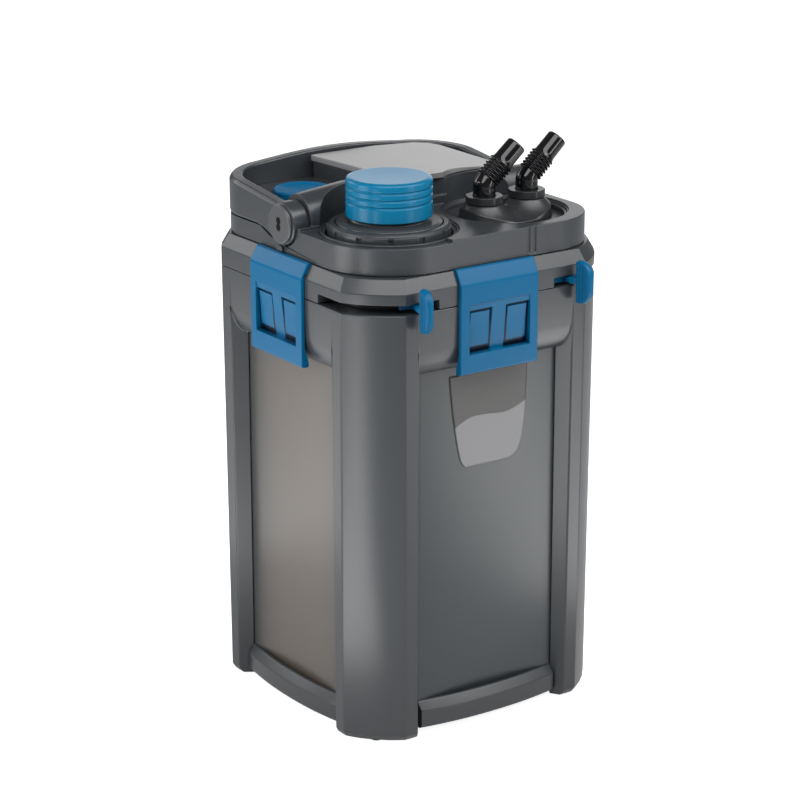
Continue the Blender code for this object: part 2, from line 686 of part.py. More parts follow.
build_canister()
build_frame()
build_base_tray()
build_head_base()
build_gasket()
build_housing()
build_motor_cover()
build_gland()
build_handle()
build_pivot_caps()
build_button()
build_lock_ring()
build_prefilter()
build_connector_block()
for port, heading in ((0, -10), (1, -5)):
    build_elbow(port, heading)
    build_nut(port)
for quarter, clip_name in enumerate(("clip_front", "clip_right", "clip_back", "clip_left")):
    build_clip(quarter, clip_name)
build_lever(-1, "release_lever_left")
build_lever(1, "release_lever_right")
build_baskets()
build_pump()
build_label()
for part in list(filter_parts.objects) + list(cutters.objects):
    part.location.y += CENTRE_SHIFT * MM
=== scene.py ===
# Looks for the external canister filter. The CAD frame gives every size and place, in metres.
import json
import math

import bmesh
import bpy
import numpy as np
from mathutils import Matrix, Vector


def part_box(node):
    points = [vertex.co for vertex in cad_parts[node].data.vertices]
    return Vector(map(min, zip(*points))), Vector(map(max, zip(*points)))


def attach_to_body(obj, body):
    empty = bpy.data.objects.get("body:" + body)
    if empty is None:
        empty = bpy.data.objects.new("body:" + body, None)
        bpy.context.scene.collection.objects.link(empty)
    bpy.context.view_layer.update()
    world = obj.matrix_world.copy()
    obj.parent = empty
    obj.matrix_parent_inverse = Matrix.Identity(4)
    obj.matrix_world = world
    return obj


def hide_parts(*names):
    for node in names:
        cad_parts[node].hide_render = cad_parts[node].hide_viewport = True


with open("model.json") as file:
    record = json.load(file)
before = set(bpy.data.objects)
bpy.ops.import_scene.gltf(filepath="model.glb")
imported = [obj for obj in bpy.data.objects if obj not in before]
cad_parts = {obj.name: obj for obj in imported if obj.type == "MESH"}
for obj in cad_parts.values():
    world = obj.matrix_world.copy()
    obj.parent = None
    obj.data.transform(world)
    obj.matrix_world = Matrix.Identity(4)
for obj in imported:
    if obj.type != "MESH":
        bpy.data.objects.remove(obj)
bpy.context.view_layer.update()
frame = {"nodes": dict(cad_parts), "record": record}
mm = 0.001
pivotY, pivotZ = 1.5, 414.0  # the handle's pivots in the body's own frame, in millimetres
pivotLow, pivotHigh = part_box("pivot_cap_left")
# the body's own middle lies this far behind the frame's
shift = ((pivotLow + pivotHigh) / 2).y / mm - pivotY
print("frame loaded")


def meshObject(name, verts, faces):
    # verts is an (n, 3) array in metres, faces an (m, 4) array; doubles merged and faces turned outwards
    mesh = bpy.data.meshes.new(name)
    mesh.from_pydata(verts.tolist(), [], faces.tolist())
    bm = bmesh.new()
    bm.from_mesh(mesh)
    bmesh.ops.remove_doubles(bm, verts=bm.verts, dist=0.000004)
    bmesh.ops.dissolve_degenerate(bm, dist=0.000001, edges=bm.edges)
    bmesh.ops.recalc_face_normals(bm, faces=bm.faces)
    if bm.calc_volume(signed=True) < 0:
        bmesh.ops.reverse_faces(bm, faces=bm.faces)
    bm.to_mesh(mesh)
    bm.free()
    mesh.shade_smooth()
    obj = bpy.data.objects.new(name, mesh)
    bpy.context.scene.collection.objects.link(obj)
    return obj


def gridPiece(name, points, wrapRows=False, wrapCols=True):
    # points is (rows, cols, 3); neighbouring rows and columns are joined by quads, and wrap closes either way
    rows, cols = points.shape[:2]
    index = np.arange(rows * cols).reshape(rows, cols)
    if wrapRows:
        index = np.vstack([index, index[:1]])
    if wrapCols:
        index = np.hstack([index, index[:, :1]])
    faces = np.stack([index[:-1, :-1], index[:-1, 1:], index[1:, 1:], index[1:, :-1]], axis=-1)
    return meshObject(name, points.reshape(-1, 3), faces.reshape(-1, 4))


def closedSlab(front, back):
    # two matching sheets as one grid whose rows wrap; each side edge closes on a line midway between the sheets
    loop = np.concatenate([front, back[::-1]])
    middle = (front + back)[:, [0, -1]] / 2
    ends = np.concatenate([middle, middle[::-1]])
    return np.concatenate([ends[:, :1], loop, ends[:, 1:]], axis=1)


def cappedSweep(sections):
    # a row of sections with the first and the last closed at their own middle
    ends = sections[[0, -1]].mean(axis=1, keepdims=True) + 0 * sections[[0, -1]]
    return np.concatenate([ends[:1], sections, ends[1:]])


def turnedBy(degrees, axis="Z"):
    return np.array(Matrix.Rotation(math.radians(degrees), 3, axis))


def fullTurn(steps):
    return np.linspace(0, 2 * math.pi, steps, endpoint=False)


def squaredCircle(angle, power):
    # cosine and sine raised to a power with their signs kept: below 1 it swells a circle towards a square
    return [np.sign(wave) * np.abs(wave) ** power for wave in (np.cos(angle), np.sin(angle))]


def smoothStep(t):
    return t * t * (3 - 2 * t)


def rounded(points, radius, steps=4, closed=False):
    # every corner of the polyline gives way to a parabola that starts and ends one radius away from it
    p = np.array(points, float)
    before, after = np.roll(p, 1, axis=0), np.roll(p, -1, axis=0)
    back, ahead = before - p, after - p
    backLength = np.linalg.norm(back, axis=1, keepdims=True)
    aheadLength = np.linalg.norm(ahead, axis=1, keepdims=True)
    reach = np.broadcast_to(np.reshape(radius, (-1, 1)), (len(p), 1))
    first = p + back / backLength * np.minimum(reach, 0.45 * backLength)
    last = p + ahead / aheadLength * np.minimum(reach, 0.45 * aheadLength)
    t = np.linspace(0, 1, steps + 1)[None, :, None]
    curve = (1 - t) ** 2 * first[:, None] + 2 * t * (1 - t) * p[:, None] + t ** 2 * last[:, None]
    if closed:
        return curve.reshape(-1, 2)
    return np.vstack([p[:1], curve[1:-1].reshape(-1, 2), p[-1:]])


def turnedPiece(name, profile, centre, steps=96, turn=None, closed=False):
    # a profile of (radius, height) carried round its own Z; turn is a 3x3 matrix, centre in millimetres
    angle = fullTurn(steps)
    radius, height = profile[:, 0, None], profile[:, 1, None]
    points = np.stack([radius * np.cos(angle), radius * np.sin(angle), height + 0 * angle], axis=-1)
    if turn is not None:
        points = points @ turn.T
    return gridPiece(name, (points + np.array(centre)) * mm, wrapRows=closed)


def weighted(obj):
    modifier = obj.modifiers.new("weighted", "WEIGHTED_NORMAL")
    modifier.mode = "FACE_AREA"
    modifier.weight = 60
    return obj


softSettings = {"segments": 3, "edgeAngle": 24.0, "flatAngle": 0.6, "mostCorners": 24}


def softCopy(node, width, split=False, reshape=None):
    # the CAD solid with its doubles merged, its flat faces joined up and its edges rounded; with split, a large
    # face round several holes is kept as triangles, which the bevel can't tangle
    c = softSettings
    bm = bmesh.new()
    bm.from_mesh(frame["nodes"][node].data)
    bmesh.ops.remove_doubles(bm, verts=bm.verts, dist=0.00001)
    bmesh.ops.dissolve_limit(bm, angle_limit=math.radians(c["flatAngle"]), verts=bm.verts, edges=bm.edges)
    if split:
        bmesh.ops.triangulate(bm, faces=[face for face in bm.faces if len(face.verts) > c["mostCorners"]])
    mesh = bpy.data.meshes.new(node + "Soft")
    bm.to_mesh(mesh)
    bm.free()
    if reshape is not None:
        place = np.empty(len(mesh.vertices) * 3)
        mesh.vertices.foreach_get("co", place)
        mesh.vertices.foreach_set("co", reshape(place.reshape(-1, 3) / mm).ravel() * mm)
    mesh.shade_smooth()
    obj = bpy.data.objects.new(node + "Soft", mesh)
    bpy.context.scene.collection.objects.link(obj)
    bevel = obj.modifiers.new("roundedEdges", "BEVEL")
    bevel.width = width * mm
    bevel.segments = c["segments"]
    bevel.limit_method = "ANGLE"
    bevel.angle_limit = math.radians(c["edgeAngle"])
    bevel.use_clamp_overlap = False
    bevel.miter_outer = "MITER_ARC"
    return weighted(obj)


bodyOf = {node: body for body, nodes in frame["record"]["behaviour"]["bodies"].items() for node in nodes}


def dress(obj, material, *nodes):
    # gives the piece its finish and body, and lets it stand for the CAD nodes named
    obj.data.materials.clear()
    obj.data.materials.append(material)
    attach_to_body(obj, bodyOf[nodes[0]])
    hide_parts(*nodes)
    return obj


def attach(obj, material, node):
    # an added piece that replaces nothing takes the given finish and the body of the CAD node it stands on
    obj.data.materials.append(material)
    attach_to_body(obj, bodyOf[node])


def newGroup(name, inputs, outputs):
    group = bpy.data.node_groups.new(name, "ShaderNodeTree")
    for label, kind, value in inputs:
        socket = group.interface.new_socket(name=label, in_out="INPUT", socket_type=kind)
        if value is not None:
            socket.default_value = value
    for label, kind in outputs:
        group.interface.new_socket(name=label, in_out="OUTPUT", socket_type=kind)
    return group, group.nodes.new("NodeGroupInput"), group.nodes.new("NodeGroupOutput")


def mathNode(tree, operation, *values):
    # a Math node; each input is a socket to link or a plain number
    node = tree.nodes.new("ShaderNodeMath")
    node.operation = operation
    for socket, value in zip(node.inputs, values):
        if isinstance(value, (int, float)):
            socket.default_value = value
        else:
            tree.links.new(value, socket)
    return node.outputs[0]


def colourMix(tree, share, first, second):
    node = tree.nodes.new("ShaderNodeMix")
    node.data_type = "RGBA"
    factor, colourA, colourB = node.inputs[0], node.inputs[6], node.inputs[7]
    tree.links.new(share, factor)
    tree.links.new(first, colourA)
    if isinstance(second, tuple):
        colourB.default_value = (*second, 1)
    else:
        tree.links.new(second, colourB)
    return node.outputs[2]


def mouldedGrainGroup():
    # fine spark-eroded grain for the bump, and slow drifts of tone and gloss over the surface
    group, source, result = newGroup(
        "mouldedGrain",
        [("Grain Scale", "NodeSocketFloat", 900.0), ("Drift Scale", "NodeSocketFloat", 9.0),
         ("Tone", "NodeSocketColor", None), ("Drift", "NodeSocketFloat", 0.1),
         ("Roughness", "NodeSocketFloat", 0.4), ("Rough Drift", "NodeSocketFloat", 0.08)],
        [("Color", "NodeSocketColor"), ("Roughness", "NodeSocketFloat"), ("Height", "NodeSocketFloat")],
    )
    nodes, links = group.nodes, group.links
    place = nodes.new("ShaderNodeTexCoord").outputs["Object"]
    grain, drift = nodes.new("ShaderNodeTexNoise"), nodes.new("ShaderNodeTexNoise")
    for noise, scale, detail in ((grain, "Grain Scale", 3.0), (drift, "Drift Scale", 4.0)):
        noise.inputs["Detail"].default_value = detail
        links.new(place, noise.inputs["Vector"])
        links.new(source.outputs[scale], noise.inputs["Scale"])
    grain.inputs["Roughness"].default_value = 0.65
    centred = mathNode(group, "SUBTRACT", drift.outputs["Fac"], 0.5)
    tone = nodes.new("ShaderNodeVectorMath")
    tone.operation = "SCALE"
    links.new(source.outputs["Tone"], tone.inputs[0])
    links.new(mathNode(group, "MULTIPLY_ADD", centred, source.outputs["Drift"], 1.0), tone.inputs["Scale"])
    rough = mathNode(group, "MULTIPLY_ADD", centred, source.outputs["Rough Drift"], source.outputs["Roughness"])
    links.new(tone.outputs[0], result.inputs["Color"])
    links.new(rough, result.inputs["Roughness"])
    links.new(grain.outputs["Fac"], result.inputs["Height"])
    return group


mouldedGrain = mouldedGrainGroup()


# distances from the middle, in metres, over which each part of the tank's tint comes or goes
tintSpans = {"side": (0.104, 0.1115), "paintedPoolWide": (0.0, 0.075), "paintedPoolHigh": (0.1, 0.26),
             "warmWide": (0.02, 0.085)}


def tankTintGroup():
    # what shows through the smoky wall, warm media behind the side walls, with a cool pool of painted light on the
    # front
    group, source, result = newGroup(
        "tankTint",
        [(label, "NodeSocketColor", None) for label in ("Cool", "Warm", "PaintedPool")],
        [("Color", "NodeSocketColor")],
    )
    nodes, links = group.nodes, group.links
    place = nodes.new("ShaderNodeTexCoord")
    axes = nodes.new("ShaderNodeSeparateXYZ")
    links.new(place.outputs["Object"], axes.inputs[0])

    def ease(axis, span, outLow, outHigh):
        band = nodes.new("ShaderNodeMapRange")
        band.interpolation_type = "SMOOTHSTEP"
        links.new(mathNode(group, "ABSOLUTE", axes.outputs[axis]), band.inputs["Value"])
        limits = (*tintSpans[span], outLow, outHigh)
        for label, number in zip(("From Min", "From Max", "To Min", "To Max"), limits):
            band.inputs[label].default_value = number
        return band.outputs["Result"]

    # the pool is painted light: lighter towards the middle and higher up
    paintedPool = mathNode(group, "MULTIPLY", ease("X", "paintedPoolWide", 1, 0), ease("Z", "paintedPoolHigh", 0.15, 1))
    warm = mathNode(group, "MULTIPLY", ease("X", "side", 0, 1), ease("Y", "warmWide", 1, 0.25))
    withPaintedPool = colourMix(group, paintedPool, source.outputs["Cool"], source.outputs["PaintedPool"])
    links.new(colourMix(group, warm, withPaintedPool, source.outputs["Warm"]), result.inputs["Color"])
    return group


tankTint = tankTintGroup()


# what a finish has unless its own settings say otherwise; the depth is in metres
plainGrain = {"grain": 0.12, "grainScale": 900.0, "grainDepth": 0.0002, "drift": 0.05, "driftScale": 9.0,
              "roughDrift": 0.04}


def mouldedFinish(name, ownSettings):
    # one Principled shader fed by the shared grain; uniform values stay on its own sockets
    settings = {**plainGrain, **ownSettings}
    material = bpy.data.materials.new(name)
    material.use_nodes = True
    tree = material.node_tree
    nodes, links = tree.nodes, tree.links
    shader = nodes["Principled BSDF"]
    grain = nodes.new("ShaderNodeGroup")
    grain.node_tree = mouldedGrain
    grain.inputs["Tone"].default_value = (*settings["colour"], 1)
    for label, key in (("Roughness", "rough"), ("Grain Scale", "grainScale"), ("Drift", "drift"),
                       ("Drift Scale", "driftScale"), ("Rough Drift", "roughDrift")):
        grain.inputs[label].default_value = settings[key]
    bump = nodes.new("ShaderNodeBump")
    bump.inputs["Strength"].default_value = settings["grain"]
    bump.inputs["Distance"].default_value = settings["grainDepth"]
    tone = grain.outputs["Color"]
    if "tints" in settings:
        tint = nodes.new("ShaderNodeGroup")
        tint.node_tree = tankTint
        for label, colour in settings["tints"].items():
            tint.inputs[label].default_value = (*colour, 1)
        links.new(tint.outputs["Color"], grain.inputs["Tone"])
    if "slit" in settings:  # the moulded gaps get painted shade, nearly black, from a vertex attribute of their own
        gap = nodes.new("ShaderNodeAttribute")
        gap.attribute_name = "slit"
        tone = colourMix(tree, gap.outputs["Fac"], tone, settings["slit"])
    links.new(tone, shader.inputs["Base Color"])
    links.new(grain.outputs["Roughness"], shader.inputs["Roughness"])
    links.new(grain.outputs["Height"], bump.inputs["Height"])
    links.new(bump.outputs["Normal"], shader.inputs["Normal"])
    for socket, value in settings.get("shader", {}).items():
        shader.inputs[socket].default_value = value
    return material


finishes = {
    "greyPlastic": {"colour": (0.028, 0.0315, 0.0355), "rough": 0.31, "grain": 0.1},
    "darkPlastic": {"colour": (0.018, 0.02, 0.022), "rough": 0.3, "grain": 0.1},
    "bluePlastic": {"colour": (0.0, 0.084, 0.19), "rough": 0.3, "grain": 0.08,
                    "shader": {"Specular IOR Level": 0.16}},
    "blueCap": {"colour": (0.0, 0.118, 0.23), "rough": 0.24, "grain": 0.05,
                "shader": {"Specular IOR Level": 0.22}},
    "silverPanel": {"colour": (0.34, 0.34, 0.345), "rough": 0.36, "grain": 0.12, "shader": {"Metallic": 0.6}},
    "hubFace": {"colour": (0.044, 0.047, 0.051), "rough": 0.31, "grain": 0.08},
    "blackGloss": {"colour": (0.004, 0.004, 0.005), "rough": 0.07, "grain": 0.0, "roughDrift": 0.03},
    # the clip's slit colour is painted shade for the gaps round the tongues
    "clipPlastic": {"colour": (0.0, 0.084, 0.19), "rough": 0.3, "grain": 0.08, "slit": (0.0, 0.004, 0.014),
                    "shader": {"Specular IOR Level": 0.16}},
    # the tank's pool colour is painted light on the front
    "smokeTank": {"colour": (0.05, 0.055, 0.06), "rough": 0.3, "grain": 0.05,
                  "tints": {"Cool": (0.03, 0.036, 0.041), "Warm": (0.088, 0.075, 0.064),
                            "PaintedPool": (0.06, 0.066, 0.07)},
                  "shader": {"Transmission Weight": 0.15}},
    "labelDark": {"colour": (0.062, 0.06, 0.059), "rough": 0.5, "grain": 0.05},
    "labelPale": {"colour": (0.17, 0.17, 0.175), "rough": 0.5, "grain": 0.05},
    # this black is painted shade for the insides of the pivot keyholes
    "holeShadeBlack": {"colour": (0.002, 0.002, 0.002), "rough": 0.7, "grain": 0.05,
                  "shader": {"Specular IOR Level": 0.1}},
    "rubber": {"colour": (0.012, 0.012, 0.012), "rough": 0.75, "grain": 0.3},
    "media": {"colour": (0.2, 0.16, 0.11), "rough": 0.95, "grain": 0.8, "grainScale": 180.0},
    "foam": {"colour": (0.02, 0.07, 0.16), "rough": 0.95, "grain": 0.9, "grainScale": 400.0},
    "ceramic": {"colour": (0.75, 0.74, 0.7), "rough": 0.2, "grain": 0.02},
}
finish = {name: mouldedFinish(name, settings) for name, settings in finishes.items()}
print("finishes ready")


# the turned-in lower edge of the collar
collarRoll = {"low": 308.0, "inner": 113.0, "reach": 12.0, "draw": 2.6}


def collarFace(z):
    # how far out the collar stands at height z, a quarter ellipse below and flat above
    c = collarRoll
    share = np.clip((z - c["low"]) / (c["reach"] * c["draw"]), 0, 1)
    return c["inner"] + c["reach"] * np.sqrt(1 - (1 - share) ** 2)


clipSizes = {
    "half": 38.0, "face": 128.6, "low": 304.7, "chamferLow": 377.8, "chamferTop": (122.0, 389.6),
    "lip": (119.2, 390.0),
    "windowHalf": 29.6, "windowLow": 321.0, "windowTop": 361.6, "barHalf": 6.8, "gap": 2.0, "topBar": 5.0,
    "tongueLift": 3.4, "slopeTop": 0.7, "slopeLow": 5.0, "gapDepth": 3.0, "tongueDrop": 0.55, "edge": 0.9,
    "beadAxis": (122.3, 386.3), "bead": 3.9, "leastWall": 0.8, "clear": 0.25,
    "back": ((124.9, 381.0), (125.5, 377.5), (125.5, 360.0), (125.5, 340.0), (125.5, 322.0), (124.3, 316.0),
             (122.6, 311.6), (121.9, 308.0), (121.8, 305.3), (122.4, 304.7)),
}


def smoothBox(value, low, high, soft=0.35):
    # 0 outside low..high and 1 inside, with a short straight ramp at each end
    return np.clip((value - low) / soft + 0.5, 0, 1) * np.clip((high - value) / soft + 0.5, 0, 1)


def finePoints(edges, soft=0.35, between=3):
    # grid lines crowded round each edge, so that a step there is a crisp wall
    edges = np.array(sorted(edges), float)
    near = edges[:, None] + np.array([-0.9, -0.5, 0.0, 0.5, 0.9]) * soft
    spans = edges[:-1, None] + (edges[1:] - edges[:-1])[:, None] * np.linspace(0, 1, between + 2)[1:-1]
    return np.unique(np.round(np.concatenate([near.ravel(), spans.ravel()]), 4))


def clipHollow(x, z):
    # how deep the front is sunk at (x, z), and how much of that is a moulded gap that takes painted shade
    c = clipSizes
    window, bar, gap = c["windowHalf"], c["barHalf"], c["gap"]
    low, top = c["windowLow"], c["windowTop"]
    tongueLow, tongueTop = low + c["tongueLift"], top - c["topBar"]
    inWindow = smoothBox(x, -window, window) * smoothBox(z, low, top)
    slope = c["slopeTop"] + (c["slopeLow"] - c["slopeTop"]) * (top - z) / (top - low)
    pocket = smoothBox(np.abs(x), bar, window + 1) * smoothBox(z, low - 2, tongueTop)
    tongue = smoothBox(np.abs(x), bar + gap, window - gap) * smoothBox(z, tongueLow + gap, tongueTop - gap)
    sunk = inWindow * (slope + pocket * (c["gapDepth"] * (1 - tongue) + c["tongueDrop"] * tongue))
    # the limit keeps it clear of the collar behind
    return np.minimum(sunk, c["face"] - collarFace(z) - c["clear"]), inWindow * pocket * (1 - tongue)


def clipColumns():
    # x of the grid's columns: crowded at the window's walls, and easing over each side's rounded edge
    c = clipSizes
    window, bar, gap = c["windowHalf"], c["barHalf"], c["gap"]
    x = finePoints([-window, -bar - gap, -bar, bar, bar + gap, window, -window + gap, window - gap])
    rim = c["half"] - c["edge"] * (1 - np.cos(np.linspace(0, math.pi / 2, 5)))
    return np.concatenate([-rim, x[(x > -rim[-1]) & (x < rim[-1])], rim[::-1]])


def clipFront():
    # (reach, z) of the front from its lower edge, over the flat face and the chamfer, to the lip
    c = clipSizes
    face, gap = c["face"], c["gap"]
    tongueLow, tongueTop = c["windowLow"] + c["tongueLift"], c["windowTop"] - c["topBar"]
    z = finePoints([c["windowLow"], tongueLow, tongueLow + gap, tongueTop - gap, tongueTop, c["windowTop"]])
    low = np.array([(face - 2.2, 0.0), (face - 0.9, 0.25), (face - 0.2, 0.9), (face, 2.2)]) + [0, c["low"]]
    top = [(face, c["windowTop"] + 1.2), (face, c["chamferLow"]), c["chamferTop"], c["lip"]]
    return np.vstack([low, np.stack([np.full(len(z), face), z], axis=1), rounded(top, [0, 1.6, 1.4, 0])])


def clipBack(rows):
    # (reach, z) of the back, from the lower edge up to the bead it swings on, spaced evenly along its length
    c = clipSizes
    angle = np.radians(np.linspace(75, -80, 7))[1:]
    bead = np.array(c["beadAxis"]) + c["bead"] * np.stack([-np.cos(angle), np.sin(angle)], axis=1)
    line = np.vstack([bead, c["back"]])
    share = np.concatenate([[0], np.cumsum(np.linalg.norm(np.diff(line, axis=0), axis=1))])
    share = 1 - share / share[-1]
    return np.stack([np.interp(np.linspace(0, 1, rows), share[::-1], line[::-1, k]) for k in (0, 1)], axis=1)


def clipPiece(node, quarter):
    # a plate whose front is a height over (x, z): a sunk window, a T bar that leans in, and two tongues with
    # gaps round them, darkened with painted shade
    c = clipSizes
    x, front = clipColumns(), clipFront()
    mate = clipBack(len(front))
    z = front[:, 1:]
    past = np.clip(np.abs(x) - (c["half"] - c["edge"]), 0, c["edge"])
    rounding = c["edge"] - np.sqrt(np.clip(c["edge"] ** 2 - past ** 2, 0, None))
    depth = front[:, :1] - clipHollow(x, z)[0] - rounding
    inner = np.minimum(mate[:, :1], depth - c["leastWall"])
    wide, high, mateHigh = (np.broadcast_to(value, depth.shape) for value in (x, z, mate[:, 1:]))
    loop = closedSlab(np.stack([wide, -depth, high], axis=-1), np.stack([wide, -inner, mateHigh], axis=-1))
    turn = turnedBy(90 * quarter)
    points = loop @ turn.T + np.array([0, shift, 0])
    obj = gridPiece("sideClip" + node[5:].title(), points * mm, wrapRows=True, wrapCols=False)
    spots = np.empty(len(obj.data.vertices) * 3, np.float32)
    obj.data.vertices.foreach_get("co", spots)
    spots = (spots.reshape(-1, 3) / mm - [0, shift, 0]) @ turn
    # the gaps round the tongues get painted shade, nearly black, through this attribute
    sunk, slit = clipHollow(spots[:, 0], spots[:, 2])
    slit = slit * (-spots[:, 1] > c["face"] - sunk - 0.5)  # the painted gap shade stays off the back
    obj.data.attributes.new("slit", "FLOAT", "POINT").data.foreach_set("value", slit.astype(np.float32))
    return dress(weighted(obj), finish["clipPlastic"], node)


for quarter, node in enumerate(("clip_front", "clip_right", "clip_back", "clip_left")):
    clipPiece(node, quarter)
print("clips built")


leverSizes = {
    "axis": (63.0, -63.0), "turns": {"Left": -101.0, "Right": -79.0},
    "inner": 68.0, "outer": 84.2, "middle": 365.4, "tall": 18.0, "thick": 3.6, "straight": 0.18, "ribHigh": 0.45,
    "ribWave": 16.2, "ribShift": 2.6, "ribPitch": 3.4, "armHalf": (3.6, 2.5), "armMiddle": 365.9, "armSquare": 0.45,
    "armRows": ((53.0, 0.0), (53.6, 0.9), (56.0, 1.0), (60.0, 1.0), (62.0, 1.0), (63.0, 1.16), (65.6, 1.16),
                (66.4, 1.0), (69.0, 1.25)),
    "slider": ((48.5, 363.4), (57.0, 363.4), (57.0, 368.4), (48.5, 368.4)), "sliderSweep": 14.0,
}


def leverPad():
    # a D seen from the side: its height falls off as 1 - t^2.6 under a root, and ribs stand on both faces
    c = leverSizes
    u, v = np.linspace(0, 1, 61), np.linspace(-1, 1, 41)
    r = c["inner"] + (c["outer"] - c["inner"]) * u
    tall = c["tall"] * np.sqrt(np.clip(1 - np.clip((u - c["straight"]) / 0.84, 0, 1) ** 2.6, 0, 1))
    tall = tall * (1 - 0.1 * (1 - np.clip(u / c["straight"], 0, 1)) ** 2)
    inset = 1 - np.abs(v)
    rim = np.clip(np.minimum(np.minimum(u * 9, (1 - u) * 6)[:, None], (inset * 9)[None, :]), 0, 1)
    wave = np.clip(np.cos((u * c["ribWave"] - c["ribShift"]) * 2 * math.pi / c["ribPitch"]) * 3, -1, 1)
    ribs = c["ribHigh"] * wave * (u > 0.1) * (u < 0.78)
    half = (c["thick"] - 0.5) * np.sqrt(1 - (1 - rim) ** 2) + ribs[:, None] * np.clip(inset * 6 - 0.6, 0, 1)
    half = np.maximum(half, 0)
    z = c["middle"] + tall[:, None] * v[None, :]
    reach = np.broadcast_to(r[:, None], z.shape)
    near, far = np.stack([reach, -half, z], axis=-1), np.stack([reach, half, z], axis=-1)
    pad = np.concatenate([near, far[:, ::-1]], axis=1)
    return np.concatenate([pad[:1] * [1, 0, 1], pad, pad[-1:] * [1, 0, 1]])


def leverArm():
    # a rounded bar from inside the slot to the pad, thicker where it meets it
    c = leverSizes
    along, swell = np.array(c["armRows"]).T
    across, up = squaredCircle(fullTurn(32), c["armSquare"])
    wide, high = c["armHalf"]
    arm = np.stack([np.broadcast_to(along[:, None], (len(along), 32)), swell[:, None] * across * wide,
                    c["armMiddle"] + np.minimum(swell, 1.08)[:, None] * up * high], axis=-1)
    return np.concatenate([arm, [np.broadcast_to([along[-1], 0.0, c["armMiddle"]], (32, 3))]])


def leverSlider():
    # a curved plate that keeps the slot covered
    c = leverSizes
    sweep = np.radians(np.linspace(-c["sliderSweep"], c["sliderSweep"], 33))[:, None]
    section = rounded(c["slider"], 0.7, 3, closed=True)
    return cappedSweep(np.stack([section[:, 0] * np.cos(sweep), section[:, 0] * np.sin(sweep),
                                 section[:, 1] + 0 * sweep], axis=-1))


def leverPieces(node, hand):
    c = leverSizes
    turn = turnedBy(c["turns"][hand])
    base = np.array([(-1 if hand == "Left" else 1) * c["axis"][0], c["axis"][1] + shift, 0])
    for part, points in (("Pad", leverPad()), ("Arm", leverArm()), ("Slider", leverSlider())):
        obj = gridPiece("lever" + hand + part, (points @ turn.T + base) * mm)
        dress(weighted(obj), finish["bluePlastic"], node)


leverPieces("release_lever_left", "Left")
leverPieces("release_lever_right", "Right")
print("levers built")


wellPlace = (-57.0, -57.0 + shift, 0.0)
portWellPlace = (58.0, -56.0 + shift, 0.0)
buttonPlace = (-66.0, 55.0 + shift, 0.0)
capSizes = {"radius": 34.6, "top": 455.6, "low": 424.2, "grooves": (448.2, 442.4, 436.6), "grooveDeep": 1.3,
            "grooveHalf": 1.1}


def capProfile():
    # a low dome, three rounded grooves and a plain skirt
    c = capSizes
    r, top, low = c["radius"], c["top"], c["low"]
    points = [(0, top - 0.5), (18, top - 0.2), (31.0, top), (33.6, top - 0.7), (r, top - 2.4)]
    for z in c["grooves"]:
        points += [(r, z + c["grooveHalf"]), (r - c["grooveDeep"], z), (r, z - c["grooveHalf"])]
    return rounded(points + [(r, low + 0.4), (33.8, low), (0, low)], 0.7)


collarProfile = rounded([(0, 423.4), (30.8, 423.4), (32.2, 421.2), (40.4, 420.8), (42.6, 419.4), (42.6, 404.0),
                         (39.0, 400.0), (12.0, 400.0), (12.0, 52.0), (37.0, 52.0), (37.0, 48.0), (0, 48.0)], 0.6)
buttonProfile = rounded([(0, 422.7), (9.0, 423.1), (17.0, 424.1), (21.0, 425.7), (23.4, 426.0), (24.6, 424.8),
                         (24.6, 415.0), (23.0, 413.2), (0, 413.2)], [0, 2, 2, 1.2, 0.8, 0.8, 0.4, 0.4, 0], 5)
turnedPieces = (
    ("ribbedCap", capProfile(), wellPlace, 144, "blueCap", "turn_cap"),
    ("prefilterCollar", collarProfile, wellPlace, 120, "greyPlastic", "prefilter_collar"),
    ("primingButton", buttonProfile, buttonPlace, 96, "bluePlastic", "priming_button"),
)
for name, profile, place, steps, look, node in turnedPieces:
    dress(weighted(turnedPiece(name, profile, place, steps)), finish[look], node)

# a stepped ledge stands inside each well, against its wall
ledges = {
    "prefilterLedge": (wellPlace, ((50.8, 400.1), (55.4, 400.1), (55.4, 412.4), (54.2, 412.9), (53.2, 411.0),
                                   (50.8, 410.4))),
    "portLedge": (portWellPlace, ((48.6, 406.1), (51.95, 406.1), (51.95, 412.2), (50.9, 412.4), (50.2, 410.4),
                                  (48.6, 410.0))),
}
for name, (place, edge) in ledges.items():
    ledge = turnedPiece(name, rounded(edge, 0.45, 3, closed=True), place, 160, closed=True)
    attach(weighted(ledge), finish["greyPlastic"], "upper_housing")

keyholeSizes = {"radius": 3.1, "proud": 1.75, "sunk": -0.6, "reach": 122.2, "offset": 2.7}
for side, hand, node in ((-1, "Left", "pivot_cap_left"), (1, "Right", "pivot_cap_right")):
    # two overlapping discs across the pivot's face make the keyhole's figure of eight, painted black as the shade
    # inside the hole
    c = keyholeSizes
    spot = rounded([(0, c["proud"]), (c["radius"], c["proud"]), (c["radius"], c["sunk"]), (0, c["sunk"])], 0.15, 2)
    for i, offset in enumerate((-c["offset"], c["offset"])):
        place = (side * c["reach"], pivotY + shift, pivotZ + offset)
        keyholeShade = turnedPiece(f"keyhole{hand}{i}", spot, place, 24, turnedBy(90 * side, "Y"))
        keyholeShade.data.materials.append(finish["holeShadeBlack"])
        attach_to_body(keyholeShade, bodyOf[node])
print("turned pieces built")


ports = ((36.3, -57.0), (79.3, -57.0))
elbowSizes = {"base": 412.0, "stem": 9.2, "spigot": 7.4, "knee": 437.5, "bend": 8.0, "tilt": 45.0,
              "headings": (-10.0, -5.0), "long": 41.5, "barbs": 6, "barbPitch": 3.1, "firstBarb": 37.6, "bore": 5.6,
              "boreDeep": 22.0}


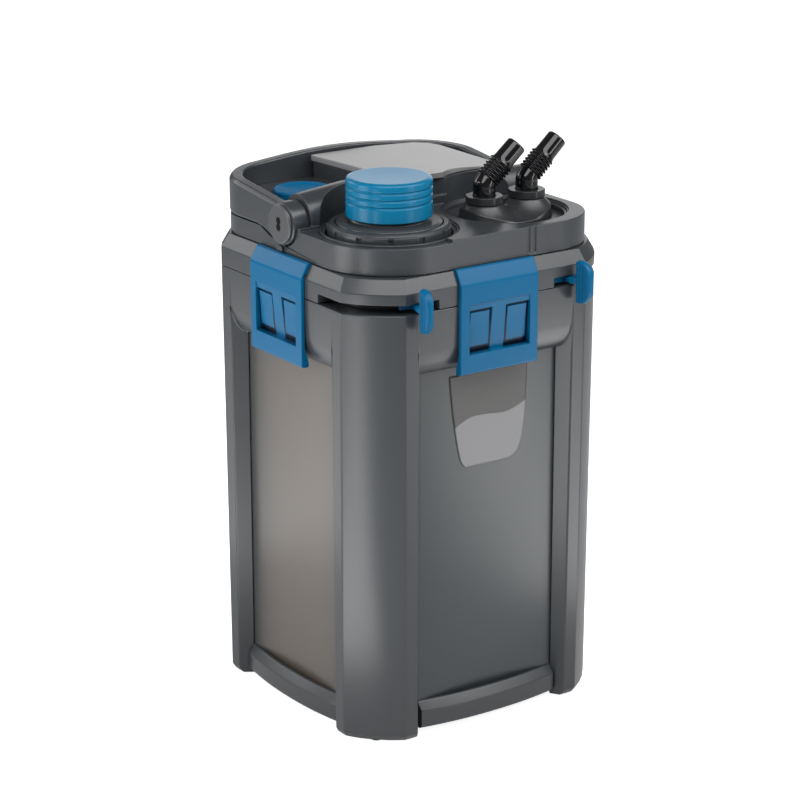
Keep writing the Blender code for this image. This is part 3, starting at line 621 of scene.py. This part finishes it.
def elbowPiece(index):
    # circles carried up the stem, round a short bend and along the barbed tail; each station gives the length so
    # far and the radius there
    c = elbowSizes
    tilt = math.radians(c["tilt"])
    tangent = c["bend"] * math.tan(tilt / 2)
    arcLong = c["bend"] * tilt
    stem = c["knee"] - c["base"] - tangent
    tailStart = stem + arcLong
    total = tailStart + c["long"] - tangent
    stations = [(0.0, 0.0), (0.0, c["spigot"]), (9.2, c["spigot"]), (9.6, c["stem"]), (stem - 1.0, c["stem"]),
                (stem, c["stem"] - 0.1), *((stem + arcLong * k / 8, 9.25) for k in (1, 2, 3)),
                (stem + arcLong * 0.5, 9.3), (tailStart, 8.9), (tailStart + 1.0, 8.9)]
    for i in range(c["barbs"]):
        barb = total - c["firstBarb"] + c["barbPitch"] * i
        stations += [(barb, 8.7), (barb + 0.9, 8.8), (barb + 1.0, 10.4), (barb + 1.5, 10.4), (barb + 2.6, 9.2)]
    stations += [(total - 16.4, 8.6), (total - 1.4, 8.35), (total - 0.5, 8.0), (total, 7.3), (total, 6.2),
                 (total - 0.6, c["bore"]), (total - c["boreDeep"], c["bore"]), (total - c["boreDeep"], 0.0)]
    s, radius = np.array(stations).T
    turned = np.clip((s - stem) / arcLong, 0, 1) * tilt
    run = np.clip(s - tailStart, 0, None)
    up = np.minimum(s, stem) + c["bend"] * np.sin(turned) + run * math.cos(tilt)
    out = c["bend"] * (1 - np.cos(turned)) + run * math.sin(tilt)
    angle = fullTurn(56)
    inPlane = radius[:, None] * np.cos(angle)
    across = radius[:, None] * np.sin(angle)
    px = out[:, None] + inPlane * np.cos(turned)[:, None]
    pz = up[:, None] - inPlane * np.sin(turned)[:, None]
    x, y = ports[index]
    points = np.stack([px, across, pz], axis=-1) @ turnedBy(c["headings"][index]).T
    obj = gridPiece(f"hoseElbow{index + 1}", (points + np.array([x, y + shift, c["base"]])) * mm)
    return dress(weighted(obj), finish["blackGloss"], f"hose_elbow_{index + 1}")


domeSizes = {"centre": (57.8, -57.0), "half": (40.5, 28.5), "power": 2.4, "low": 406.5, "lip": 408.4, "rise": 12.4,
             "boss": 14.6, "slope": 17.0}


def domePiece():
    # an oval plate that rises to a round boss under each port; the bosses melt into each other
    c = domeSizes
    ovalX, ovalY = squaredCircle(fullTurn(144), 2 / c["power"])
    rho = np.concatenate([[0], np.linspace(0.04, 0.975, 44), [0.99, 1.0, 1.0, 0.99, 0]])[:, None]
    x = c["centre"][0] + rho * (ovalX * c["half"][0])
    y = c["centre"][1] + rho * (ovalY * c["half"][1])
    flat = 1.0
    for px, py in ports:
        reach = np.clip((np.hypot(x - px, y - py) - c["boss"]) / c["slope"], 0, 1)
        flat = flat * (1 - (1 - reach) ** 1.7)
    z = c["lip"] + 0.15 + c["rise"] * (1 - flat)
    # the last five rings are the plate's rounded edge and its underside
    z[-5:] = np.array([c["lip"], c["lip"] - 0.4, c["low"] + 0.4, c["low"], c["low"]])[:, None]
    obj = gridPiece("connectorDome", np.stack([x, y + shift, z], axis=-1) * mm)
    return dress(weighted(obj), finish["darkPlastic"], "connector_block")


elbowPiece(0)
elbowPiece(1)
domePiece()


apronSizes = {"radius": 52.0, "rim": 413.35, "floor": 406.2, "inner": 30.0, "faces": 214.0, "spread": 96.0}


def apronPiece():
    # a sloping apron in the port well, highest on the side that faces the prefilter and the front
    c = apronSizes
    angle = fullTurn(160)
    away = np.abs((np.degrees(angle) - c["faces"] + 180) % 360 - 180)
    lift = smoothStep(np.clip(1.25 - away / c["spread"], 0, 1))
    t = np.concatenate([np.linspace(0, 1, 26), [1.0, 0.0]])[:, None]
    radius = c["inner"] + (c["radius"] - 0.05 - c["inner"]) * t
    x = portWellPlace[0] + radius * np.cos(angle)
    y = portWellPlace[1] + radius * np.sin(angle)
    z = c["floor"] + (c["rim"] - c["floor"]) * smoothStep(t) * lift
    z[-2:] = c["floor"] - 0.15
    apron = gridPiece("portApron", np.stack([x, y, z], axis=-1) * mm, wrapRows=True)
    attach(apron, finish["greyPlastic"], "upper_housing")


apronPiece()
print("hose fittings built")


labelSizes = {
    "left": ((-37.0, 300.0), (-37.0, 296.0), (-33.8, 268.0), (-29.6, 243.0), (-26.0, 228.0), (-21.5, 221.6)),
    "right": ((39.4, 300.0), (39.2, 285.0), (37.6, 258.0), (34.6, 238.0), (30.0, 226.5), (22.0, 221.6)),
    "wave": ((-37.0, 256.5), (-27.0, 260.9), (-16.0, 263.6), (0.0, 263.2), (16.0, 261.8), (28.0, 264.2),
             (39.4, 268.6)),
    "span": (-37.0, 39.4), "low": 221.5, "high": 300.0, "face": 112.95, "thick": 0.9,
}


def smoothLine(points, count):
    # cubic Hermite spans through the points; the slope at each is the mean of the steps to its neighbours
    p = np.array(points, float)
    slope = np.gradient(p, axis=0)
    t = np.linspace(0, len(p) - 1, count)
    i = np.minimum(t.astype(int), len(p) - 2)
    f = (t - i)[:, None]
    a, b, c, d = 2 * f ** 3 - 3 * f ** 2 + 1, f ** 3 - 2 * f ** 2 + f, -2 * f ** 3 + 3 * f ** 2, f ** 3 - f ** 2
    return a * p[i] + b * slope[i] + c * p[i + 1] + d * slope[i + 1]


def labelPieces():
    # two films that share a waved edge; each is a grid between its left and right edges
    c = labelSizes
    left, right, wave = (smoothLine(c[key], 60) for key in ("left", "right", "wave"))
    across = np.linspace(0, 1, 49)
    v = np.linspace(0, 1, 33)[:, None]
    shared = np.interp(np.linspace(*c["span"], 49), wave[:, 0], wave[:, 1])
    for name, look, low, high in (("labelUpper", "labelDark", shared, c["high"]),
                                  ("labelLower", "labelPale", c["low"], shared)):
        z = low + (high - low) * v
        xLeft = np.interp(z, left[::-1, 1], left[::-1, 0])
        xRight = np.interp(z, right[::-1, 1], right[::-1, 0])
        x = xLeft + (xRight - xLeft) * across
        front = np.stack([x, np.full_like(x, -c["face"] + shift), z], axis=-1)
        film = closedSlab(front, front + np.array([0, c["thick"], 0]))
        dress(gridPiece(name, film * mm, wrapRows=True, wrapCols=False), finish[look], "label_plate")


labelPieces()


sillSizes = {"half": 68.2, "bow": 6.4, "rooted": 98.0, "section": (
    (-98.0, 6.2), (-122.4, 6.2), (-124.4, 8.2), (-124.4, 21.8), (-119.0, 29.0), (-116.2, 29.0), (-115.6, 11.4),
    (-98.0, 11.4))}
plateSizes = {"half": 110.0, "mostReach": 128.0, "power": 5, "scale": (0, 0.996, 1, 1, 0.996, 0),
              "levels": (6.4, 6.4, 6.8, 10.8, 11.2, 11.2)}


def sillPiece(quarter):
    # the section is carried across the opening and pulled in towards both ends
    c = sillSizes
    section = rounded(c["section"], 0.8, 3, closed=True)
    x = np.concatenate([[-1.0], np.linspace(-1, 1, 41) * 0.992, [1.0]])[:, None]
    y = section[:, 0] + c["bow"] * np.abs(x) ** 2.2 * np.clip((-section[:, 0] - c["rooted"]) / 16, 0, 1)
    cutBack = np.sign(x) * np.clip((-y - 116) * 0.2, 0, 3) * (np.abs(x) > 0.97)  # bevels the outer end edges
    loop = np.stack([x * c["half"] - cutBack, y, np.broadcast_to(section[:, 1], y.shape)], axis=-1)
    points = cappedSweep(loop) @ turnedBy(90 * quarter).T + np.array([0, shift, 0])
    return dress(weighted(gridPiece(f"traySill{quarter + 1}", points * mm)), finish["greyPlastic"], "base_tray")


def trayPlate():
    # a rounded square plate: |x|^5 + |y|^5 = half^5, with its corners held inside a circle
    c = plateSizes
    angle = fullTurn(160)
    cosine, sine = np.cos(angle), np.sin(angle)
    reach = c["half"] / (np.abs(cosine) ** c["power"] + np.abs(sine) ** c["power"]) ** (1 / c["power"])
    reach = np.array(c["scale"])[:, None] * np.minimum(reach, c["mostReach"])
    z = np.array(c["levels"])[:, None] + 0 * angle
    points = np.stack([reach * cosine, reach * sine + shift, z], axis=-1)
    return dress(weighted(gridPiece("trayPlate", points * mm)), finish["greyPlastic"], "base_tray")


trayPlate()
for quarter in range(4):
    sillPiece(quarter)
print("label and base built")


# the finish and the edge width in millimetres
softPieces = {
    "outer_frame": ("greyPlastic", 1.2), "head_base": ("greyPlastic", 0.6),
    "upper_housing": ("greyPlastic", 0.7), "motor_cover": ("silverPanel", 0.5),
    "carry_handle": ("greyPlastic", 0.6),
    "pivot_cap_left": ("hubFace", 0.5), "pivot_cap_right": ("hubFace", 0.5),
    "lock_ring": ("greyPlastic", 0.4), "hose_nut_1": ("darkPlastic", 0.4), "hose_nut_2": ("darkPlastic", 0.4),
    "canister": ("smokeTank", 0.5),
}


splitNodes = {"upper_housing"}


def deeperRoll(points):
    # the collar's turned-in lower edge is drawn out upwards, from a quarter circle to a tall quarter ellipse
    z, low = points[:, 2], collarRoll["low"]
    rolled = (z > low + 0.05) & (z < low + collarRoll["reach"] + 1)
    points[:, 2] = np.where(rolled, low + (z - low) * collarRoll["draw"], z)
    return points


reshapes = {"outer_frame": deeperRoll}
for node, (look, width) in softPieces.items():
    dress(softCopy(node, width, node in splitNodes, reshapes.get(node)), finish[look], node)

plainNodes = {"cable_gland": "rubber", "head_gasket": "rubber", "impeller": "darkPlastic",
              "impeller_shaft": "ceramic", "pump_cover": "darkPlastic"}
for i in range(1, 5):
    plainNodes[f"foot_{i}"] = "rubber"
    plainNodes[f"prefilter_foam_{i}"] = "foam"
for i in range(1, 4):
    plainNodes[f"media_basket_{i}"] = "darkPlastic"
    plainNodes[f"filter_media_{i}"] = "foam" if i == 1 else "media"
for node, look in plainNodes.items():
    mesh = frame["nodes"][node].data
    mesh.materials.clear()
    mesh.materials.append(finish[look])
print("pieces dressed")


studio = {"floorSize": 80.0, "floorColour": (0.8, 0.8, 0.8), "floorGlow": 0.9, "floorLight": 0.06, "fill": 0.15,
          "backdrop": 1.0}
cameraSettings = {"place": (-1.23815, -1.76814, 0.93138), "aim": (0.0, 0.01067, 0.24012), "lens": 120.4}
softboxes = {
    "top": {"place": (-0.15, -0.75, 1.45), "aim": (0, 0.05, 0.35), "size": (2.4, 0.9), "watts": 30},
    "left": {"place": (-1.5, 0.35, 0.6), "aim": (0, 0, 0.2), "size": (0.7, 1.3), "watts": 15},
    "front": {"place": (0.7, -1.7, 0.5), "aim": (0, 0, 0.25), "size": (0.35, 1.0), "watts": 5},
    "rim": {"place": (1.3, 1.5, 0.75), "aim": (0, 0, 0.4), "size": (1.4, 0.8), "watts": 4},
    "chamferRight": {"place": (1.05, -0.85, 1.3), "aim": (0, 0, 0.3), "size": (1.0, 0.9), "watts": 7},
    "chamferLeft": {"place": (-0.85, 1.45, 0.95), "aim": (0, 0, 0.3), "size": (1.0, 0.7), "watts": 6},
    # these lie on the floor facing up, and are seen only in reflections
    "columnBand": {"place": (-1.2, -0.47, 0.006), "size": (2.0, 0.24), "watts": 7, "turn": 21.0},
    "sideBand": {"place": (-0.62, 0.62, 0.006), "size": (0.9, 0.2), "watts": 1.0, "turn": -48.0},
    "frontBand": {"place": (0.5, -0.62, 0.006), "size": (0.9, 0.16), "watts": 2, "turn": -55.0},
}


def lookAt(obj, place, aim):
    obj.location = place
    obj.rotation_euler = (Vector(aim) - Vector(place)).to_track_quat("-Z", "Y").to_euler()


def glowFor(tree, asLight, toCamera):
    # a strength that differs between what the camera sees and what the surface gives as a light
    rays = tree.nodes.new("ShaderNodeLightPath")
    strength = tree.nodes.new("ShaderNodeMapRange")
    strength.inputs["To Min"].default_value = asLight
    strength.inputs["To Max"].default_value = toCamera
    tree.links.new(rays.outputs["Is Camera Ray"], strength.inputs["Value"])
    return strength.outputs["Result"]


def buildFloor():
    half = studio["floorSize"] / 2
    mesh = bpy.data.meshes.new("studioFloor")
    corners = [(-half, -half, 0), (half, -half, 0), (half, half, 0), (-half, half, 0)]
    mesh.from_pydata(corners, [], [(0, 1, 2, 3)])
    floor = bpy.data.objects.new("studioFloor", mesh)
    bpy.context.scene.collection.objects.link(floor)
    paint = bpy.data.materials.new("floorPaint")
    paint.use_nodes = True
    shader = paint.node_tree.nodes["Principled BSDF"]
    shader.inputs["Base Color"].default_value = (*studio["floorColour"], 1)
    shader.inputs["Roughness"].default_value = 0.9
    shader.inputs["Emission Color"].default_value = (1, 1, 1, 1)
    glow = glowFor(paint.node_tree, studio["floorLight"], studio["floorGlow"])
    paint.node_tree.links.new(glow, shader.inputs["Emission Strength"])
    mesh.materials.append(paint)


def buildWorld():
    world = bpy.data.worlds.new("studioWorld")
    world.use_nodes = True
    background = world.node_tree.nodes["Background"]
    background.inputs["Color"].default_value = (1, 1, 1, 1)
    glow = glowFor(world.node_tree, studio["fill"], studio["backdrop"])
    world.node_tree.links.new(glow, background.inputs["Strength"])
    bpy.context.scene.world = world


def buildLights():
    for name, box in softboxes.items():
        light = bpy.data.lights.new(name + "Softbox", "AREA")
        light.shape = "RECTANGLE"
        light.size, light.size_y = box["size"]
        light.energy = box["watts"]
        lamp = bpy.data.objects.new(name + "Softbox", light)
        bpy.context.scene.collection.objects.link(lamp)
        if "turn" in box:
            lamp.location = box["place"]
            lamp.rotation_euler = (math.pi, 0, math.radians(box["turn"]))
            lamp.visible_camera = False
        else:
            lookAt(lamp, box["place"], box["aim"])


def buildCamera():
    camera = bpy.data.cameras.new("photoCamera")
    camera.lens = cameraSettings["lens"]
    camera.sensor_width = 36.0
    viewer = bpy.data.objects.new("photoCamera", camera)
    bpy.context.scene.collection.objects.link(viewer)
    lookAt(viewer, cameraSettings["place"], cameraSettings["aim"])
    bpy.context.scene.camera = viewer
    bpy.context.scene.view_settings.view_transform = "Standard"


buildFloor()
buildWorld()
buildLights()
buildCamera()
print("studio ready")
